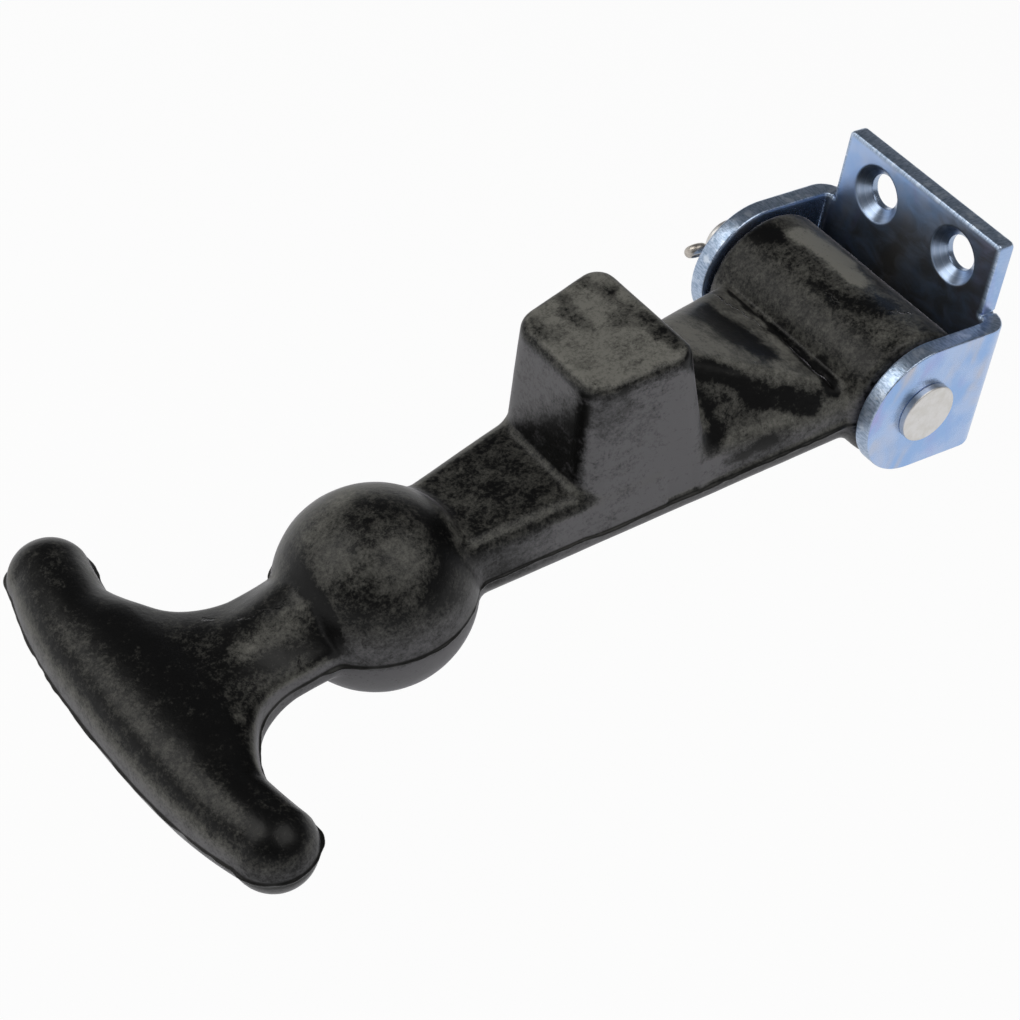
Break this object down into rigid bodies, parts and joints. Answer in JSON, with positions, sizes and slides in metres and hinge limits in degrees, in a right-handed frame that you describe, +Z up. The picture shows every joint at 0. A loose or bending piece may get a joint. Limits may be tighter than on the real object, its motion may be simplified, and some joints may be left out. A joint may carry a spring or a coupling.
{
  "type": "rubber hood latch",
  "caption": "Moulded rubber T-handle hood latch with retaining ball, hinged on a pin in a folded steel bracket.",
  "frame": {"origin": "midway between the two screw holes, on the bracket's back face", "axes": "+X into the panel, -X the way the latch stands out, +Y along the hinge pin, +Z up from the pin to the screw holes"},
  "size_m": [0.186, 0.0956, 0.0768],
  "materials": {
    "zinc_plate": "blue-bright zinc plating, satin, with worn and sheared edges",
    "pale_plate": "pale satin plating",
    "dull_wire": "dull grey-brown wire",
    "black_rubber": "moulded black rubber with a mottled grey-olive bloom"
  },
  "bodies": {
    "bracket": {"bracket": "zinc_plate", "hinge_pin": "pale_plate", "split_pin": "dull_wire"},
    "pull": {"rubber_pull": "black_rubber"}
  },
  "joints": [
    {"name": "pull_pivot", "type": "hinge", "parent": "bracket", "child": "pull", "pos_m": [-0.0196, 0, -0.0217], "axis": [0, 1, 0], "range_deg": [-76, 100]}
  ]
}
